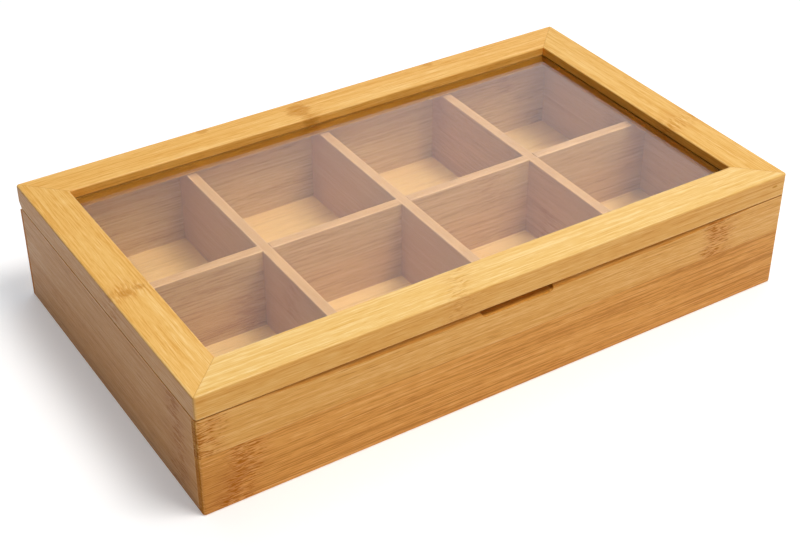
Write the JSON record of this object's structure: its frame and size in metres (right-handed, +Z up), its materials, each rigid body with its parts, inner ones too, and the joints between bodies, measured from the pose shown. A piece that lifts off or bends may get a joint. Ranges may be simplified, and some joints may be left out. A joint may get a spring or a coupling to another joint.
{
  "type": "tea bag organizer box",
  "caption": "Bamboo tea chest: hinged lid with a clear window over a grid of tea bag compartments, with a finger notch in the front board.",
  "frame": {"origin": "on the resting surface, below the middle of the box", "axes": "+X along the length towards the right-hand end, +Y from the finger notch towards the hinges, +Z up"},
  "size_m": [0.335, 0.2, 0.067],
  "materials": {
    "bamboo_boards": "satin clear-coated carbonised bamboo, strips glued edge to edge",
    "bamboo_floor": "satin bamboo panel",
    "bamboo_partitions": "sanded bamboo strips",
    "bamboo_lid": "satin clear-coated natural bamboo",
    "bamboo_splines": "sawn bamboo",
    "clear_pane": "clear acrylic sheet, polished",
    "hinge_brass": "stamped and lacquered",
    "screw_brass": "turned and lacquered"
  },
  "bodies": {
    "box": {"front_wall": "bamboo_boards", "back_wall": "bamboo_boards", "left_wall": "bamboo_boards", "right_wall": "bamboo_boards", "bottom_panel": "bamboo_floor", "long_divider": "bamboo_partitions", "cross_divider_left": "bamboo_partitions", "cross_divider_middle": "bamboo_partitions", "cross_divider_right": "bamboo_partitions", "hinge_left_box_leaf": "hinge_brass", "hinge_left_pin": "hinge_brass", "hinge_left_box_screws": "screw_brass", "hinge_right_box_leaf": "hinge_brass", "hinge_right_pin": "hinge_brass", "hinge_right_box_screws": "screw_brass"},
    "lid": {"lid_front_rail": "bamboo_lid", "lid_back_rail": "bamboo_lid", "lid_left_rail": "bamboo_lid", "lid_right_rail": "bamboo_lid", "lid_corner_splines": "bamboo_splines", "lid_pane": "clear_pane", "hinge_left_lid_leaf": "hinge_brass", "hinge_left_lid_screws": "screw_brass", "hinge_right_lid_leaf": "hinge_brass", "hinge_right_lid_screws": "screw_brass"}
  },
  "joints": [
    {"name": "lid_hinge", "type": "hinge", "parent": "box", "child": "lid", "pos_m": [0, 0.0969, 0.05415], "axis": [-1, 0, 0], "range_deg": [0, 100]}
  ]
}
